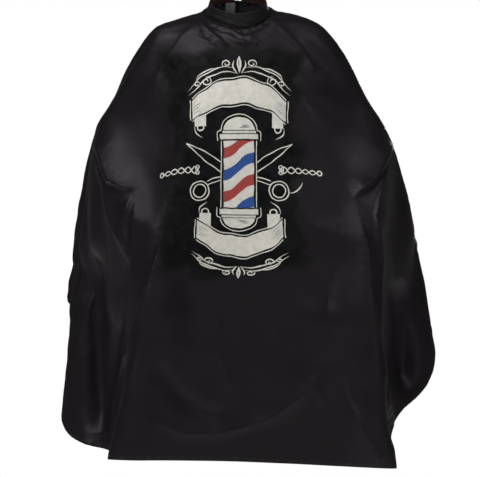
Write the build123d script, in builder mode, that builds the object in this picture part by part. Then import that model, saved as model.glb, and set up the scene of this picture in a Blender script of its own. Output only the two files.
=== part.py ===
"""Barber cape, worn: one hemmed cloth hung from a snap-closed neck band.

Frame: millimetres, +Z up, the wearer faces -Y, +X is the wearer's left.
The origin is the centre of the neck opening, at the seam between band and cloth.
"""
from build123d import *
import math
import os

# ---------------------------------------------------------------- driving dimensions
NECK_TILT = 30.0          # the neck seam drops towards the front by this angle
NECK_RADIUS = 80.0        # seam circle, on the band's inner face
BAND_TOP_RADIUS = 68.0    # the band leans in towards its top edge
BAND_HEIGHT = 40.0
PLY = 0.8                 # one layer of the band or the tab
PLY_GAP = 0.25            # air between two layers
CLOTH = 2.4               # wall of the draped cloth, with its small wrinkles filled in
INSIDE_DROP = 2.0         # the inner drape starts this much lower, so both are open at the hem

BAND_FIRST = 96.0         # the band runs from here, round the front, to BAND_LAST
BAND_LAST = 444.0         # 444 degrees is 84 degrees: the opening is at the nape
TAB_ROOT = 66.0           # the tab is sewn to the band from here
TAB_HINGE = 80.0          # and is free from here
TAB_END = 124.0
TAB_MARGIN = 6.0          # the tab is narrower than the band by this much at each edge

SNAP_PITCH = 14.5         # degrees between snaps round the band
FIRST_SNAP = 101.0
STUD_COUNT = 5            # sizes that the neck can be closed to
SOCKET_COUNT = 2
POST_RADIUS = 1.2         # rivet post of a stud or a cap
POST_HOLE = 1.3
WAIST_RADIUS = 2.2        # the socket's spring closes round the stud's waist
STUD_RADIUS = 2.6
FLANGE_RADIUS = 4.6
FLANGE = 0.4
STUD_HEIGHT = 1.7
SOCKET_BORE = 2.9
SOCKET_RADIUS = 5.0
SOCKET_HOLE = 5.2         # hole in the tab round a socket
SPRING_WIRE = 0.2
CAP_RADIUS = 6.0
CAP_HEIGHT = 1.1
CURVE_GAP = 0.25          # a flat snap stands this far off the curved band at its middle

THREAD_RADIUS = 0.45      # topstitching on the band and the tab, one bead a row
EDGE_TO_THREAD = 2.5
SLIT = 8.0                # gap between the two back edges
SEAM_GAP = 1.0            # the cloth's neck edge lies this far under the band
LABEL_WIDTH, LABEL_THICK, LABEL_DROP = 24.0, 0.6, 42.0
LABEL_X, LABEL_Y, LABEL_TOP = -20.0, 61.6, 35.0

# Draped sections of the cloth, from the shoulders down, each with the half widths on
# the right and left hand of the wearer, the two fold ridges of the front panel, the
# depth at the middle and at the ridges, the depth behind, and how far the side drape
# steps back behind the ridge (0 not at all, 1 fully).
SECTIONS = [
    # z, half right, half left, ridge right, ridge left, front, ridge, back, step
    (-55, 238, 243, 119, 121, 92, 84, 125, 0.0),
    (-130, 280, 286, 139, 142, 135, 129, 140, 0.0),
    (-215, 328, 337, 160, 172, 154, 150, 150, 0.0),
    (-310, 375, 395, 172, 215, 163, 165, 152, 0.0),
    (-520, 415, 447, 190, 305, 172, 200, 150, 0.2),
    (-735, 442, 482, 238, 335, 176, 212, 135, 0.5),
    (-930, 450, 508, 282, 362, 178, 218, 120, 0.8),
    (-1160, 456, 512, 328, 392, 178, 222, 110, 1.0),
]

# ---------------------------------------------------------------- neck frame
tilt = math.radians(NECK_TILT)
neck_up = Vector(0, -math.sin(tilt), math.cos(tilt))
neck_back = Vector(0, math.cos(tilt), math.sin(tilt))
neck_axis = Axis((0, 0, 0), neck_up)
slant_length = math.hypot(NECK_RADIUS - BAND_TOP_RADIUS, BAND_HEIGHT)
slant = ((BAND_TOP_RADIUS - NECK_RADIUS) / slant_length, BAND_HEIGHT / slant_length)
slant_out = (slant[1], -slant[0])
band_plies = [index * (PLY + PLY_GAP) for index in range(3)]
band_face = band_plies[2] + PLY
tab_plies = [band_face + PLY_GAP + index * (PLY + PLY_GAP) for index in range(3)]
tab_face = tab_plies[2] + PLY


def neck_direction(angle):
    """Direction from the neck axis; 90 degrees is the nape."""
    turn = math.radians(angle)
    return Vector(math.cos(turn), 0, 0) + neck_back * math.sin(turn)


def neck_profile_plane(angle):
    """Plane through the neck axis: its x runs outwards, its y along the axis."""
    outward = neck_direction(angle)
    return Plane(origin=(0, 0, 0), x_dir=outward, z_dir=outward.cross(neck_up))


def on_slant(along, depth):
    """Point in the profile plane, along the band's slanted face and out from it."""
    return (NECK_RADIUS + along * slant[0] + depth * slant_out[0],
            along * slant[1] + depth * slant_out[1])


def slant_point(angle, along, depth):
    """The same point in space."""
    radial, height = on_slant(along, depth)
    return neck_direction(angle) * radial + neck_up * height


def snap_plane(angle, depth):
    """Plane on the band at mid height: its z points straight out of the face."""
    outward = neck_direction(angle)
    facing = outward * slant_out[0] + neck_up * slant_out[1]
    sideways = neck_up.cross(outward)
    return Plane(origin=slant_point(angle, slant_length / 2, depth), x_dir=sideways, z_dir=facing)


def band_layer(first, last, inner, outer, margin=0.0):
    """One layer of the band or tab, from angle first to angle last."""
    with BuildPart() as layer:
        with BuildSketch(neck_profile_plane(first)):
            with BuildLine():
                Polyline(
                    on_slant(margin, inner),
                    on_slant(slant_length - margin, inner),
                    on_slant(slant_length - margin, outer),
                    on_slant(margin, outer),
                    close=True,
                )
            make_face()
        revolve(axis=neck_axis, revolution_arc=last - first)
    return layer


def save(piece, name):
    """Label a finished piece and write its STEP file."""
    piece.part.label = name
    export_step(piece.part, f"parts/{name}.step")


# ---------------------------------------------------------------- the draped cloth
def side_points(half, ridge, front, ridge_depth, back, step):
    """Seven points of one side, from the front middle round to the back middle."""
    beyond = half - ridge
    return [
        (0.5 * ridge, -front),
        (ridge, -ridge_depth),
        (ridge + (0.42 - 0.30 * step) * beyond, -ridge_depth + 40 + 45 * step),
        (ridge + (0.80 - 0.35 * step) * beyond, -ridge_depth * (0.38 - 0.08 * step)),
        (half, 0),
        (0.92 * half, 0.5 * back),
        (0.5 * half, 0.93 * back),
    ]


def section_points(section):
    """Sixteen points round one level of the drape, from the front middle, closed."""
    z, half_right, half_left, ridge_right, ridge_left, front, ridge, back, step = section
    left = side_points(half_left, ridge_left, front, ridge, back, step)
    right = side_points(half_right, ridge_right, front, ridge, back, step)
    ring = [(0, -front)] + left + [(0, back)] + [(-x, y) for x, y in reversed(right)]
    return [(x, y, z) for x, y in ring]


def neck_points(radius):
    """The same sixteen stations round the neck seam, just under the band."""
    return [tuple(neck_direction(-90 + 22.5 * index) * radius - neck_up * SEAM_GAP)
            for index in range(16)]


def moved_out(points, distance):
    """The points of one level moved out of the drape by a distance, or in if negative."""
    moved = []
    count = len(points)
    for index, (x, y, z) in enumerate(points):
        before, after = points[index - 1], points[(index + 1) % count]
        along = Vector(after[0] - before[0], after[1] - before[1], 0).normalized()
        moved.append((x + along.Y * distance, y - along.X * distance, z))
    return moved


def drape(distance, drop):
    """Solid filling the drape out to a distance from the cloth's outer face."""
    rings = [neck_points(NECK_RADIUS + CLOTH + distance)]
    for section in SECTIONS:
        ring = moved_out(section_points(section), distance)
        rings.append([(x, y, z - drop) for x, y, z in ring])
    faces = []
    for ring in rings:
        with BuildLine() as outline:
            Spline(*ring, periodic=True)
        faces.append(Face(Wire(outline.edges())))
    with BuildPart() as solid:
        loft(sections=faces, ruled=True)
    return solid


cloth_outside = drape(0, 0)
cloth_inside = drape(-CLOTH, INSIDE_DROP)

# Front view of the lower edge, from the right hand of the wearer to the left: rounded
# side corner, side hem, the front panel's lower hem, then the higher left side hem.
SIDE_REACH = 560          # past the drape's side
THROUGH = 400             # past the drape's front or back
with BuildPart() as below_hem:
    with BuildSketch(Plane.XZ.offset(-THROUGH)):
        with BuildLine():
            Polyline((-SIDE_REACH, -1020), (-449, -1020))
            Spline((-449, -1020), (-425, -1064), (-375, -1090), (-326, -1096))
            Polyline((-326, -1096), (-326, -1126))
            Spline((-326, -1126), (-150, -1135), (40, -1131), (230, -1139), (393, -1149))
            Polyline((393, -1149), (391, -1040))
            Spline((391, -1040), (425, -1008), (470, -962), (502, -905), (506, -880))
            Polyline((506, -880), (SIDE_REACH, -880), (SIDE_REACH, -1300),
                     (-SIDE_REACH, -1300), (-SIDE_REACH, -1020))
        make_face()
    extrude(amount=2 * THROUGH)

# Rear view of the back edge: short at the nape, falling to a rounded corner each side.
BACK_CUT_FRONT = 14
with BuildPart() as below_back_hem:
    with BuildSketch(Plane.XZ.offset(-BACK_CUT_FRONT)):
        with BuildLine():
            Spline((-600, -640), (-470, -735), (-425, -752), (-380, -700), (-240, -430), (-70, -190),
                   (0, -172), (70, -190), (250, -420), (410, -690), (455, -738), (500, -720),
                   (600, -620))
            Polyline((600, -620), (600, -1300), (-600, -1300), (-600, -640))
        make_face()
    extrude(amount=-THROUGH)

SLIT_Y, SLIT_DEPTH = 140, 200      # box that opens the cloth from the nape to the back edge
SLIT_LOW, SLIT_HEIGHT = -300, 420
with BuildPart() as back_slit:
    with BuildSketch(Plane.XY.offset(SLIT_LOW)):
        with Locations((0, SLIT_Y)):
            Rectangle(SLIT, SLIT_DEPTH)
    extrude(amount=SLIT_HEIGHT)

with BuildPart() as cape_cloth:
    add(cloth_outside.part)
    add(cloth_inside.part, mode=Mode.SUBTRACT)
    add(below_hem.part, mode=Mode.SUBTRACT)
    add(below_back_hem.part, mode=Mode.SUBTRACT)
    add(back_slit.part, mode=Mode.SUBTRACT)
save(cape_cloth, "cape_cloth")


# ---------------------------------------------------------------- neck band
stud_angles = [FIRST_SNAP + index * SNAP_PITCH for index in range(STUD_COUNT)]
socket_angles = stud_angles[:SOCKET_COUNT]


def punched_layer(first, last, ply, margin, angles, radius):
    """A layer with a round hole for each snap in it."""
    layer = band_layer(first, last, ply, ply + PLY, margin)
    with BuildPart() as punched:
        add(layer.part)
        for angle in angles:
            with BuildSketch(snap_plane(angle, ply - PLY)):
                Circle(radius)
            extrude(amount=3 * PLY, mode=Mode.SUBTRACT)
    return punched


def turned(angle, profile):
    """Solid turned about a snap's own axis from (radius, depth) points."""
    base = snap_plane(angle, 0)
    with BuildPart() as piece:
        with BuildSketch(Plane(origin=base.origin, x_dir=base.x_dir, z_dir=base.x_dir.cross(base.z_dir))):
            with BuildLine():
                Polyline(*profile, close=True)
            make_face()
        revolve(axis=Axis(base.origin, base.z_dir))
    return piece


def group(pieces):
    """Several separate solids in one node."""
    with BuildPart() as together:
        for piece in pieces:
            add(piece.part)
    return together


def stitch_row(first, last, along, depth):
    """Bead of thread round the band or tab."""
    with BuildPart() as bead:
        with BuildSketch(neck_profile_plane(first)):
            with Locations(on_slant(along, depth + THREAD_RADIUS)):
                Circle(THREAD_RADIUS)
        revolve(axis=neck_axis, revolution_arc=last - first)
    return bead


def stitch_rows(first, last, margin, depth):
    """One bead along the lower edge and one along the upper."""
    rows = [margin + EDGE_TO_THREAD, slant_length - margin - EDGE_TO_THREAD]
    return group([stitch_row(first, last, along, depth) for along in rows])


for name, ply in zip(("band_lining", "band_interlining", "band_outer"), band_plies):
    save(punched_layer(BAND_FIRST, BAND_LAST, ply, 0, stud_angles, POST_HOLE), name)
save(stitch_rows(BAND_FIRST + 1, BAND_LAST - 1, 0, band_face), "band_topstitching")

# ---------------------------------------------------------------- closure tab
tab_sewn_end = band_layer(TAB_ROOT, TAB_HINGE - 0.2, tab_plies[0], tab_face, TAB_MARGIN)
save(tab_sewn_end, "tab_sewn_end")
save(stitch_rows(TAB_ROOT + 1, TAB_HINGE - 1.2, TAB_MARGIN, tab_face), "tab_anchor_stitches")
for name, ply in zip(("tab_lining", "tab_interlining"), tab_plies):
    save(punched_layer(TAB_HINGE, TAB_END, ply, TAB_MARGIN, socket_angles, SOCKET_HOLE), name)
save(punched_layer(TAB_HINGE, TAB_END, tab_plies[2], TAB_MARGIN, socket_angles, POST_HOLE), "tab_outer")
save(stitch_rows(TAB_HINGE + 1, TAB_END - 1, TAB_MARGIN, tab_face), "tab_topstitching")

# ---------------------------------------------------------------- snaps
stud_top = band_face + STUD_HEIGHT
stud_profile = [
    (0, -CURVE_GAP), (POST_RADIUS, -CURVE_GAP), (POST_RADIUS, band_face), (FLANGE_RADIUS, band_face),
    (FLANGE_RADIUS, band_face + FLANGE), (WAIST_RADIUS, band_face + FLANGE),
    (WAIST_RADIUS, stud_top - 0.9), (STUD_RADIUS, stud_top - 0.6), (STUD_RADIUS, stud_top - 0.3),
    (STUD_RADIUS - 0.3, stud_top), (0, stud_top),
]
button_face = -CURVE_GAP - 0.7
back_profile = [
    (0, -CURVE_GAP), (FLANGE_RADIUS, -CURVE_GAP), (FLANGE_RADIUS, -CURVE_GAP - 0.4),
    (FLANGE_RADIUS - 0.5, button_face), (0, button_face),
]
socket_mouth = tab_plies[0] + 0.4
socket_back = tab_plies[2] - CURVE_GAP
bore_end = socket_back - 0.3
groove = (bore_end - 0.75, bore_end - 0.1)
groove_radius = SOCKET_BORE + 0.5
socket_profile = [
    (SOCKET_BORE, socket_mouth), (SOCKET_RADIUS, socket_mouth), (SOCKET_RADIUS, socket_back),
    (0, socket_back), (0, bore_end), (SOCKET_BORE, bore_end), (SOCKET_BORE, groove[1]),
    (groove_radius, groove[1]), (groove_radius, groove[0]), (SOCKET_BORE, groove[0]),
]
cap_profile = [
    (0, socket_back), (POST_RADIUS, socket_back), (POST_RADIUS, tab_face), (CAP_RADIUS, tab_face),
    (CAP_RADIUS, tab_face + 0.4), (CAP_RADIUS - 1.2, tab_face + 0.9), (0, tab_face + CAP_HEIGHT),
]


def socket_spring(angle):
    """Ring of wire in the socket's groove."""
    base = snap_plane(angle, 0)
    with BuildPart() as ring:
        with BuildSketch(Plane(origin=base.origin, x_dir=base.x_dir, z_dir=base.x_dir.cross(base.z_dir))):
            with Locations((SOCKET_BORE + SPRING_WIRE, sum(groove) / 2)):
                Circle(SPRING_WIRE)
        revolve(axis=Axis(base.origin, base.z_dir))
    return ring


save(group([turned(angle, stud_profile) for angle in stud_angles]), "snap_studs")
save(group([turned(angle, back_profile) for angle in stud_angles]), "snap_stud_backs")
save(group([turned(angle, socket_profile) for angle in socket_angles]), "snap_sockets")
save(group([socket_spring(angle) for angle in socket_angles]), "socket_springs")
save(group([turned(angle, cap_profile) for angle in socket_angles]), "snap_caps")

# ---------------------------------------------------------------- care label
with BuildPart() as care_label:
    with Locations((LABEL_X, LABEL_Y, LABEL_TOP - LABEL_DROP / 2)):
        Box(LABEL_WIDTH, LABEL_THICK, LABEL_DROP)
save(care_label, "care_label")
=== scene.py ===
"""Looks of the barber cape: draped cloth, printed emblem, neck band, closure tab and stitching.

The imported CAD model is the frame. Everything here is in metres in the same frame: the origin is the
centre of the neck seam, +Z up, and the wearer faces -Y. The cloth is cut flat, laid over a wearer by
guide points and relaxed by a cloth simulation. Its hem and outlines are then set, and it is creased.
"Cut" coordinates are (u, v) on the flat cloth, with the neck centre at (0, 0), u to the wearer's left
and v towards the back edge.
"""
import bpy
import bmesh
import math
import numpy as np
from mathutils import Matrix, Vector
from mathutils.bvhtree import BVHTree
from mathutils.geometry import delaunay_2d_cdt


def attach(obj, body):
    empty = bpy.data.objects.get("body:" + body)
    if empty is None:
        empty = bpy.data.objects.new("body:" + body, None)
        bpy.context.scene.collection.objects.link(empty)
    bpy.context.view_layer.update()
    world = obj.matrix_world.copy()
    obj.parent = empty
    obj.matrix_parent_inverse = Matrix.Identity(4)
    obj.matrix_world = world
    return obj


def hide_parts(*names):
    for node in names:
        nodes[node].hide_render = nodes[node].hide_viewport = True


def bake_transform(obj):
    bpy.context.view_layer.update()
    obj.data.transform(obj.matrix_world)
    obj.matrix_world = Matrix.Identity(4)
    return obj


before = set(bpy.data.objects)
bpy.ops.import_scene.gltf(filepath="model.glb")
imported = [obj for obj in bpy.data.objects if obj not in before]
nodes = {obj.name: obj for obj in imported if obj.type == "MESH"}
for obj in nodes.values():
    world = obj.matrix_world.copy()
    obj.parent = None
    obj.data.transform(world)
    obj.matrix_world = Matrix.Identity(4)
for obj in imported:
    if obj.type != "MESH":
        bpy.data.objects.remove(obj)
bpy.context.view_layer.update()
scene = bpy.context.scene
rng = np.random.default_rng(7)

# ------------------------------------------------------------------ driving sizes
CUT_WIDTH, CUT_LENGTH = 1.36, 1.45
BACK = 0.30                      # neck centre to the back edge
FRONT = CUT_LENGTH - BACK
CORNER = 0.16                    # rounded corners of the cut
NECK_RADIUS = 0.080
NECK_TILT = math.radians(30)
SLIT_GAP = 0.004                 # half the gap between the back edges
STEP = 0.026                     # mesh step of the simulated cloth
FRAMES = 46
HALF = CUT_WIDTH / 2
CLOTH_THICK = 0.0005
NECK_FADE = 0.04                 # changes to the cloth fade in over this distance from the neck seam
PACKING_CREASE = 0.484           # how far below the neck centre the packing crease crosses the cut

neck_up = Vector((0, -math.sin(NECK_TILT), math.cos(NECK_TILT)))
neck_back = Vector((0, math.cos(NECK_TILT), math.sin(NECK_TILT)))


# ------------------------------------------------------------------ small helpers
def new_mesh(name, vertices, faces):
    """Smooth-shaded object from vertices and faces."""
    mesh = bpy.data.meshes.new(name)
    mesh.from_pydata([tuple(v) for v in vertices], [], faces)
    mesh.update()
    mesh.polygons.foreach_set("use_smooth", [True] * len(mesh.polygons))
    made = bpy.data.objects.new(name, mesh)
    scene.collection.objects.link(made)
    return made


def grid_faces(rows, width, first=0):
    """Quads of a grid of vertices that are listed row by row."""
    return [(a, a + 1, a + width + 1, a + width)
            for i in range(rows - 1) for a in range(first + i * width, first + (i + 1) * width - 1)]


def triples(collection, field):
    """One field of a mesh collection, three numbers to a row."""
    values = np.empty(len(collection) * 3, dtype=np.float32)
    collection.foreach_get(field, values)
    return values.reshape(-1, 3).astype(float)


def coordinates(mesh):
    return triples(mesh.vertices, "co")


def normals(mesh):
    return triples(mesh.vertex_normals, "vector")


def cut_places(mesh):
    """Where each vertex lies on the flat cut."""
    return triples(mesh.attributes["cut"].data, "vector")[:, :2].copy()


def flattened(values):
    """Rows of numbers as the plain list that a mesh field takes."""
    return values.astype(np.float32).ravel()


def applied(made):
    """Replaces an object's mesh by its evaluated one and drops its modifiers."""
    graph = bpy.context.evaluated_depsgraph_get()
    mesh = bpy.data.meshes.new_from_object(made.evaluated_get(graph))
    made.modifiers.clear()
    old = made.data
    made.data = mesh
    bpy.data.meshes.remove(old)


# ------------------------------------------------------------------ the flat cut
def along_line(a, b, step):
    """Points from a towards b, without b."""
    count = max(1, round(math.dist(a, b) / step))
    return [(a[0] + (b[0] - a[0]) * i / count, a[1] + (b[1] - a[1]) * i / count) for i in range(count)]


def along_arc(centre, radius, first, last, step):
    """Points round an arc, without its last one."""
    count = max(2, round(abs(last - first) * radius / step))
    angles = [first + (last - first) * i / count for i in range(count)]
    return [(centre[0] + radius * math.cos(a), centre[1] + radius * math.sin(a)) for a in angles]


def outer_edge(step):
    """The cut's edge from the slit's back end on the left, clockwise, to its other side."""
    half, back, front, corner, gap = HALF, BACK, -FRONT, CORNER, SLIT_GAP
    turn = math.pi / 2
    return (
        along_line((gap, back), (half - corner, back), step)
        + along_arc((half - corner, back - corner), corner, turn, 0, step)
        + along_line((half, back - corner), (half, front + corner), step)
        + along_arc((half - corner, front + corner), corner, 0, -turn, step)
        + along_line((half - corner, front), (corner - half, front), step)
        + along_arc((corner - half, front + corner), corner, -turn, -2 * turn, step)
        + along_line((-half, front + corner), (-half, back - corner), step)
        + along_arc((corner - half, back - corner), corner, 2 * turn, turn, step)
        + along_line((corner - half, back), (-gap, back), step)
        + [(-gap, back)]
    )


def neck_ring(step):
    """The neck hole's edge from one side of the slit, round the front, to the other."""
    start = math.asin(SLIT_GAP / NECK_RADIUS)
    count = round((2 * math.pi - 2 * start) * NECK_RADIUS / step)
    angles = [math.pi / 2 + start + (2 * math.pi - 2 * start) * i / count for i in range(count + 1)]
    return [(NECK_RADIUS * math.cos(a), NECK_RADIUS * math.sin(a)) for a in angles]


def cut_edge(step):
    """The whole closed edge of the cloth."""
    ring = neck_ring(step * 0.6)
    return (along_line(ring[-1], (SLIT_GAP, BACK), step) + outer_edge(step)
            + along_line((-SLIT_GAP, BACK), ring[0], step)[1:] + ring[:-1])


def inside(points, x, y):
    """Even-odd test of many points against a closed outline."""
    ends = np.roll(points, -1, axis=0)
    crosses = (points[:, 1] > y[:, None]) != (ends[:, 1] > y[:, None])
    rise = np.where(ends[:, 1] == points[:, 1], 1e-12, ends[:, 1] - points[:, 1])
    hits = x[:, None] < (ends[:, 0] - points[:, 0]) * (y[:, None] - points[:, 1]) / rise + points[:, 0]
    return (crosses & hits).sum(axis=1) % 2 == 1


def flat_mesh(step):
    """Triangulated cut: (u, v) of each vertex, and the faces."""
    edge = cut_edge(step)
    outline = np.array(edge)
    row_height = step * math.sqrt(3) / 2
    rows = int(CUT_LENGTH / row_height) + 1
    columns = int(CUT_WIDTH / step) + 2
    grid = np.array([(-HALF + (k + 0.5 * (r % 2)) * step, -FRONT + r * row_height)
                     for r in range(rows) for k in range(columns)])
    nearest = np.array([((outline - p) ** 2).sum(axis=1).min() for p in grid])
    grid = grid[(nearest > (0.6 * step) ** 2) & inside(outline, grid[:, 0], grid[:, 1])]
    points = [Vector(p) for p in edge] + [Vector(p) for p in grid]
    loop = [(i, (i + 1) % len(edge)) for i in range(len(edge))]
    made = delaunay_2d_cdt(points, loop, [], 1, 1e-6)
    cut = np.array([(v.x, v.y) for v in made[0]])
    faces = [list(f) for f in made[2]]
    middles = np.array([cut[f].mean(axis=0) for f in faces])
    kept = inside(outline, middles[:, 0], middles[:, 1])
    return cut, [f for f, keep in zip(faces, kept) if keep]


# ------------------------------------------------------------------ how the cut lies on the wearer
def on_neck(u, v):
    """A cut point near the neck, in the tilted plane of the seam."""
    return (u, v * math.cos(NECK_TILT), v * math.sin(NECK_TILT))


# Guide points: (u, v) on the cut, (x, y, z) on the wearer, and how firmly the cloth is held there.
# Sides are written for positive u and mirrored for the wearer's right.
FRONT_MIDDLE = [
    (0, -.16, 0, -.112, -.105, 0), (0, -.25, 0, -.138, -.19, 0), (0, -.40, 0, -.158, -.34, 0),
    (0, -.60, 0, -.168, -.54, 0), (0, -.80, 0, -.170, -.738, 0), (0, -1.0, 0, -.172, -.937, 0),
    (0, -FRONT, 0, -.175, -1.133, 0),
]
SHOULDER = [
    (.225, 0, .2225, .005, -.032, .2), (.295, -.075, .283, 0, -.12, .2), (.37, -.15, .327, .005, -.213, .2),
]
BACK_OF_ARM = [
    (.12, .10, .115, .09, -.02, 0), (.22, .12, .20, .10, -.09, 0), (.30, .10, .28, .085, -.19, 0),
    (.40, .08, .345, .08, -.34, 0), (.52, .05, .39, .075, -.49, 0),
]
RIGHT_SIDE = [
    (.115, 0, .114, 0, .002, .3), (.15, 0, .148, 0, -.008, .3),
    # fold ridge of the front panel
    (.21, -.63, .192, -.205, -.566, .3), (.258, -.80, .238, -.212, -.735, .3),
    (.305, -1.0, .282, -.215, -.932, .4), (.348, -FRONT, .325, -.22, -1.125, .6),
    # the valley behind it
    (.30, -.80, .262, -.16, -.73, 0), (.37, -1.0, .272, -.14, -.925, 0), (.43, -FRONT, .30, -.13, -1.108, .3),
    # elbow, forearm and the outermost line
    (.44, -.225, .366, .005, -.303, .6), (.30, -.50, .275, -.15, -.475, .2),
    (.50, -.27, .392, .03, -.40, .3), (.56, -.32, .405, .035, -.48, .3),
    # side edge and front corner
    (HALF, -.30, .415, .05, -.56, .3), (HALF, -.50, .428, .03, -.68, .3), (HALF, -.75, .44, .0, -.85, .3),
    (HALF, -.95, .449, -.015, -.98, .5), (HALF - .03, -FRONT + .08, .44, -.03, -1.045, .5),
    (HALF - .10, -FRONT + .015, .405, -.05, -1.078, .5), (HALF - .17, -FRONT, .365, -.075, -1.09, .5),
    # back corner and back edge
    (HALF, .10, .436, .085, -.69, .5), (HALF - .03, .24, .424, .10, -.755, .5),
    (HALF - .10, .29, .385, .105, -.72, .4), (.45, .30, .32, .12, -.53, 0), (.30, .30, .24, .14, -.38, 0),
    (.15, .30, .15, .155, -.26, 0), (.004, .30, .065, .16, -.175, 0),
    # chest and upper arm
    (.12, -.25, .118, -.133, -.19, 0), (.22, -.25, .212, -.10, -.20, 0), (.32, -.25, .292, -.05, -.225, 0),
    (.20, -.40, .185, -.16, -.35, 0), (.33, -.40, .30, -.09, -.38, 0),
]
LEFT_SIDE = [
    (.115, 0, .114, 0, .008, .3), (.15, 0, .148, 0, .002, .3),
    (.335, -.63, .318, -.195, -.566, .5), (.365, -.80, .345, -.205, -.735, .5),
    (.39, -1.0, .372, -.21, -.932, .7), (.415, -FRONT, .390, -.215, -1.145, .9),
    (.41, -.80, .36, -.15, -.72, 0), (.45, -1.0, .368, -.13, -.90, 0), (.48, -FRONT, .375, -.14, -1.05, .3),
    (.44, -.225, .386, .005, -.308, .6), (.38, -.50, .345, -.14, -.475, .2),
    (.50, -.27, .412, .03, -.40, .3), (.56, -.32, .432, .035, -.48, .3),
    (HALF, -.30, .445, .05, -.56, .3), (HALF, -.50, .468, .03, -.66, .3), (HALF, -.75, .49, .01, -.78, .3),
    (HALF, -.95, .505, -.005, -.87, .5), (HALF - .03, -FRONT + .08, .48, -.03, -.945, .5),
    (HALF - .10, -FRONT + .015, .44, -.06, -.985, .5), (HALF - .17, -FRONT, .40, -.085, -1.02, .5),
    (HALF, .10, .43, .085, -.64, .2), (HALF - .03, .24, .43, .10, -.70, .3),
    (HALF - .10, .29, .40, .105, -.67, .2), (.45, .30, .33, .12, -.51, 0), (.30, .30, .25, .14, -.37, 0),
    (.15, .30, .155, .155, -.255, 0), (.004, .30, .065, .16, -.175, 0),
    (.15, -.25, .148, -.128, -.19, 0), (.24, -.25, .23, -.10, -.20, 0), (.33, -.25, .305, -.05, -.225, 0),
    (.22, -.40, .208, -.16, -.35, 0), (.34, -.40, .315, -.10, -.38, 0),
]


def mirrored(points):
    """The same guide points on the wearer's other side."""
    return [(-u, v, -x, y, z, hold) for u, v, x, y, z, hold in points]


guides = np.array(FRONT_MIDDLE + SHOULDER + BACK_OF_ARM + LEFT_SIDE
                  + mirrored(SHOULDER + BACK_OF_ARM + RIGHT_SIDE))


def thin_plate(points, targets, query, stiffness=1e-4):
    """Smooth surface through guide points, read at the query points."""
    def kernel(a, b):
        squared = ((a[:, None, :] - b[None, :, :]) ** 2).sum(axis=2)
        return 0.5 * squared * np.log(np.maximum(squared, 1e-12))
    count = len(points)
    linear = np.hstack([np.ones((count, 1)), points])
    system = np.zeros((count + 3, count + 3))
    system[:count, :count] = kernel(points, points) + np.eye(count) * stiffness
    system[:count, count:] = linear
    system[count:, :count] = linear.T
    wanted = np.zeros((count + 3, 3))
    wanted[:count] = targets
    weights = np.linalg.solve(system, wanted)
    flat_part = np.hstack([np.ones((len(query), 1)), query]) @ weights[count:]
    return kernel(query, points) @ weights[:count] + flat_part


# ------------------------------------------------------------------ the wearer, for the simulation only
TORSO = [  # height, half width, half depth, how far back
    (-.01, .085, .060, 0), (-.035, .15, .07, .01), (-.06, .19, .085, .01), (-.12, .195, .105, 0),
    (-.22, .19, .122, -.008), (-.32, .18, .13, -.014), (-.45, .165, .125, -.012),
    (-.58, .175, .125, -.01), (-.72, .175, .12, 0), (-.95, .15, .10, 0), (-1.30, .12, .08, 0),
]
ARMS = {  # shoulder, elbow, wrist, hand of each side
    "right": ((-.18, .005, -.085), (-.335, .01, -.275), (-.215, -.12, -.50), (-.195, -.165, -.56)),
    "left": ((.18, .005, -.085), (.352, .01, -.28), (.315, -.11, -.50), (.305, -.155, -.56)),
}
ARM_RADII = (.050, .030, .028, .032)
ARM_SPHERES = (10, 9, 4)         # along the upper arm, the forearm and the hand


def make_wearer():
    """Plain torso, neck and arms that the cloth rests on."""
    form = bmesh.new()
    before = None
    around = np.linspace(0, 2 * math.pi, 40, endpoint=False)
    for z, half_width, half_depth, back in TORSO:
        ring = [form.verts.new((half_width * math.copysign(abs(math.cos(a)) ** 0.9, math.cos(a)),
                                back + half_depth * math.sin(a), z)) for a in around]
        if before is None:
            form.faces.new(ring)
        else:
            for i in range(len(ring)):
                j = (i + 1) % len(ring)
                form.faces.new((before[i], before[j], ring[j], ring[i]))
        before = ring
    form.faces.new(before[::-1])

    def limb(start, end, first_radius, last_radius, count):
        for i in range(count):
            t = i / (count - 1)
            centre = Vector(start).lerp(Vector(end), t)
            radius = first_radius + (last_radius - first_radius) * t
            bmesh.ops.create_uvsphere(form, u_segments=32, v_segments=20, radius=radius,
                                      matrix=Matrix.Translation(centre))
    limb((0, .015, -.08), (0, -.01, .06), .058, .055, 6)
    for joints in ARMS.values():
        shoulder = joints[0]
        limb((shoulder[0] * 0.44, 0, -.065), shoulder, .045, .050, 5)
        for a, b, radii, count in zip(joints, joints[1:], zip(ARM_RADII, ARM_RADII[1:]), ARM_SPHERES):
            limb(a, b, *radii, count)
    bmesh.ops.recalc_face_normals(form, faces=form.faces)
    mesh = bpy.data.meshes.new("wearer")
    form.to_mesh(mesh)
    form.free()
    wearer = bpy.data.objects.new("wearer", mesh)
    scene.collection.objects.link(wearer)
    remesh = wearer.modifiers.new("remesh", "REMESH")
    remesh.mode = 'VOXEL'
    remesh.voxel_size = 0.011
    soften = wearer.modifiers.new("soften", "SMOOTH")
    soften.iterations = 6
    soften.factor = 0.7
    applied(wearer)
    wearer.modifiers.new("collision", "COLLISION")
    wearer.collision.thickness_outer = 0.006
    wearer.collision.thickness_inner = 0.05
    wearer.collision.cloth_friction = 12
    wearer.collision.damping = 0.5
    return wearer


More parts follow.
